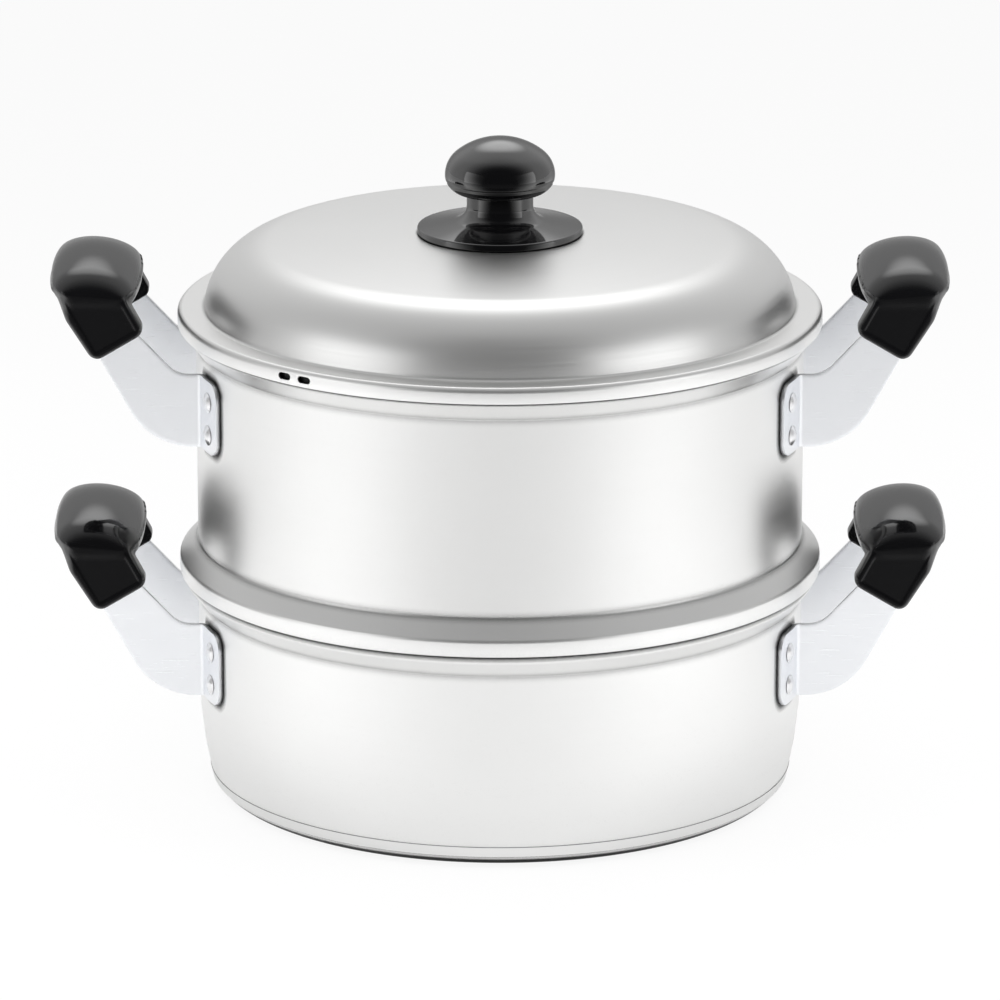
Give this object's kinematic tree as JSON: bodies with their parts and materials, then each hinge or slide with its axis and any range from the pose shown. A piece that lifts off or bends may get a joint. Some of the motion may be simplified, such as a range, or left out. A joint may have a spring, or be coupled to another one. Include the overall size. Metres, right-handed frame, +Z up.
{
  "type": "steamer pot",
  "caption": "Two-tier aluminium steamer pot: a water pan, a steamer tier with a perforated plate, a domed lid with a black knob, and black-gripped side handles.",
  "frame": {"origin": "centre of the pan's base on the surface it stands on", "axes": "+Z up along the pot's axis, the handles lie along X, the front faces -Y"},
  "size_m": [0.3852, 0.2782, 0.2881],
  "materials": {
    "satin_aluminium": "satin anodised sheet",
    "bracket_strip": "bright rolled strip",
    "rivet_metal": "bright, low polish",
    "black_phenolic": "glossy moulded phenolic",
    "insert_brass": "turned",
    "plated_screw": "bright plated"
  },
  "bodies": {
    "pan": {"pan_shell": "satin_aluminium", "pan_left_bracket": "bracket_strip", "pan_left_grip": "black_phenolic", "pan_left_rivets": "rivet_metal", "pan_left_grip_screw": "plated_screw", "pan_right_bracket": "bracket_strip", "pan_right_grip": "black_phenolic", "pan_right_rivets": "rivet_metal", "pan_right_grip_screw": "plated_screw"},
    "tier": {"tier_shell": "satin_aluminium", "tier_left_bracket": "bracket_strip", "tier_left_grip": "black_phenolic", "tier_left_rivets": "rivet_metal", "tier_left_grip_screw": "plated_screw", "tier_right_bracket": "bracket_strip", "tier_right_grip": "black_phenolic", "tier_right_rivets": "rivet_metal", "tier_right_grip_screw": "plated_screw"},
    "steam_plate": {"steam_plate": "satin_aluminium"},
    "lid": {"lid_shell": "satin_aluminium", "lid_knob": "black_phenolic", "knob_insert": "insert_brass", "knob_screw": "plated_screw", "knob_washer": "plated_screw"}
  },
  "joints": [
    {"name": "tier_lift", "type": "slide", "parent": "pan", "child": "tier", "axis": [0, 0, 1], "range_m": [0, 0.15]},
    {"name": "plate_lift", "type": "slide", "parent": "tier", "child": "steam_plate", "axis": [0, 0, 1], "range_m": [0, 0.09]},
    {"name": "lid_lift", "type": "slide", "parent": "tier", "child": "lid", "axis": [0, 0, 1], "range_m": [0, 0.12]}
  ]
}
